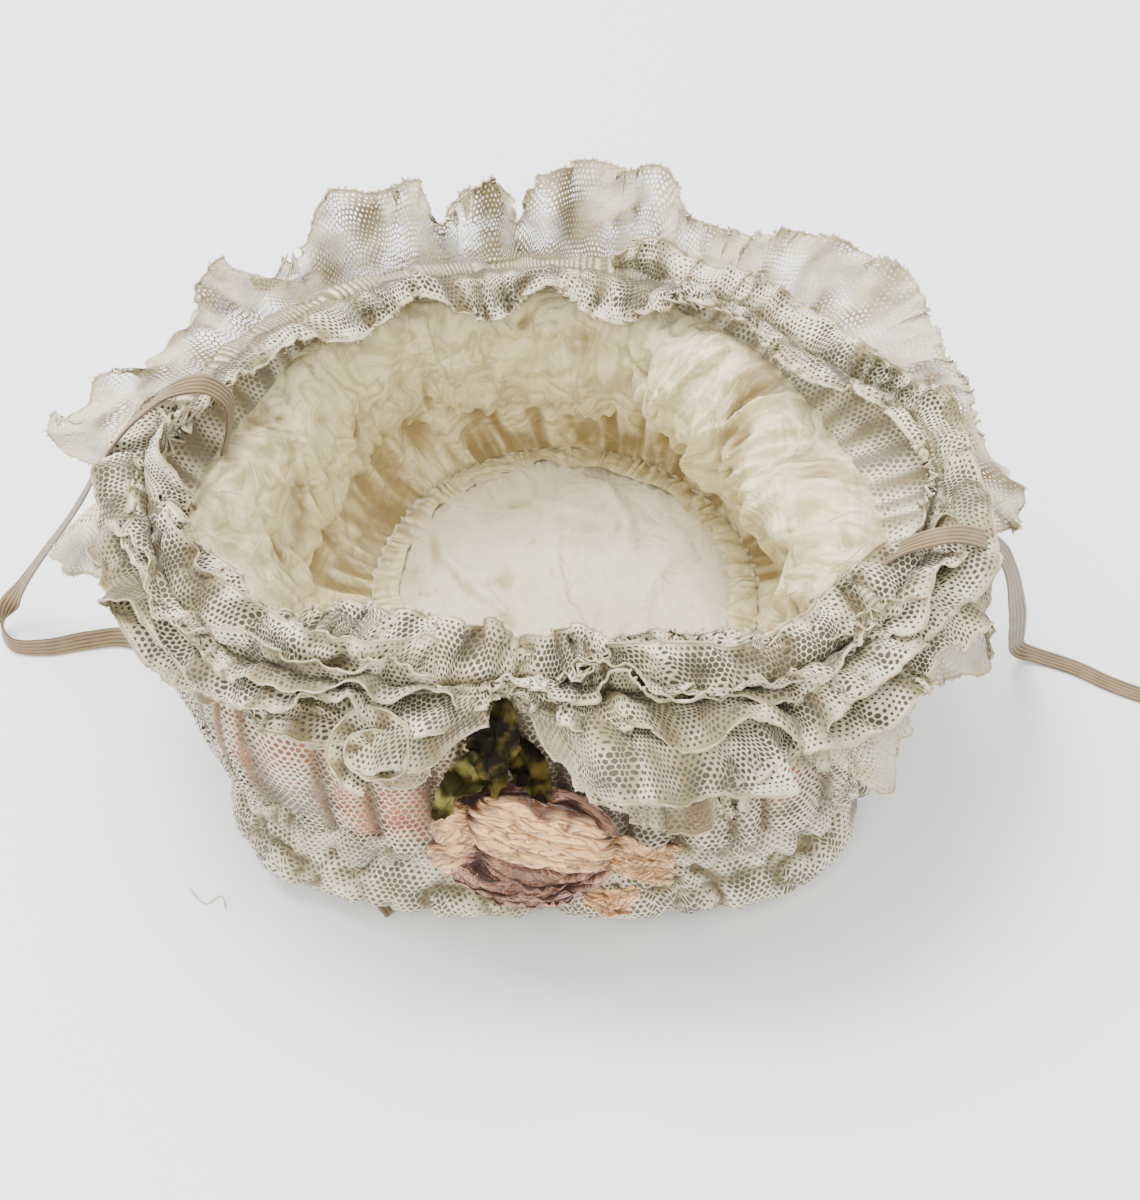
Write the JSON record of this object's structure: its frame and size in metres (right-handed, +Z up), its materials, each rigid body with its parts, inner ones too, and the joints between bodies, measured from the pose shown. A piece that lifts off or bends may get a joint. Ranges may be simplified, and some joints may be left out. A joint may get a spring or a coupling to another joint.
{
  "type": "child's lace bonnet",
  "caption": "Child's lace and silk bonnet lying upside down on its puffed crown, with net brim ruffles, a silk rose with leaves and an elastic chin strap in two loose halves.",
  "frame": {"origin": "middle of the flattened crown, on the surface it lies on", "axes": "+Z up out of the opening, +X to the wearer's side across the bonnet, -Y the front, where the rose is"},
  "size_m": [0.2986, 0.166, 0.106],
  "materials": {
    "crown_base": "soft cotton net",
    "crown_roll": "net over padding",
    "side_band": "open cotton net",
    "side_underlay": "faded pink silk",
    "lining_tip": "fine white cotton",
    "tip_seam": "gathered silk selvage",
    "lining_side": "cream silk",
    "head_roll": "padded cream silk satin",
    "brim_facing": "pleated cotton net",
    "rim_casing": "ribbed net casing",
    "brim_ruffle": "cotton lace with a picot edge",
    "inner_frill": "narrow cotton lace",
    "near_frill_left": "narrow cotton lace",
    "near_frill_right": "narrow cotton lace",
    "lace_curl": "rolled cotton lace",
    "rose_core": "crumpled satin ribbon",
    "rose_fold_upper": "crumpled satin ribbon",
    "rose_fold_middle": "crumpled satin ribbon",
    "rose_fold_lower": "crumpled satin ribbon",
    "rose_petal_top": "satin ribbon",
    "rose_ribbon_end": "frayed satin ribbon",
    "leaf_left": "velvet",
    "leaf_middle": "velvet",
    "leaf_right": "velvet",
    "leaf_top": "velvet",
    "chin_strap_right": "woven tan elastic",
    "chin_strap_left": "woven tan elastic"
  },
  "bodies": {
    "root": {"crown_base": "crown_base", "crown_roll": "crown_roll", "side_band": "side_band", "side_underlay": "side_underlay", "lining_tip": "lining_tip", "tip_seam": "tip_seam", "lining_side": "lining_side", "head_roll": "head_roll", "brim_facing": "brim_facing", "rim_casing": "rim_casing", "brim_ruffle": "brim_ruffle", "inner_frill": "inner_frill", "near_frill_left": "near_frill_left", "near_frill_right": "near_frill_right", "lace_curl": "lace_curl", "rose_core": "rose_core", "rose_fold_upper": "rose_fold_upper", "rose_fold_middle": "rose_fold_middle", "rose_fold_lower": "rose_fold_lower", "rose_petal_top": "rose_petal_top", "rose_ribbon_end": "rose_ribbon_end", "leaf_left": "leaf_left", "leaf_middle": "leaf_middle", "leaf_right": "leaf_right", "leaf_top": "leaf_top", "chin_strap_right": "chin_strap_right", "chin_strap_left": "chin_strap_left"}
  },
  "joints": []
}
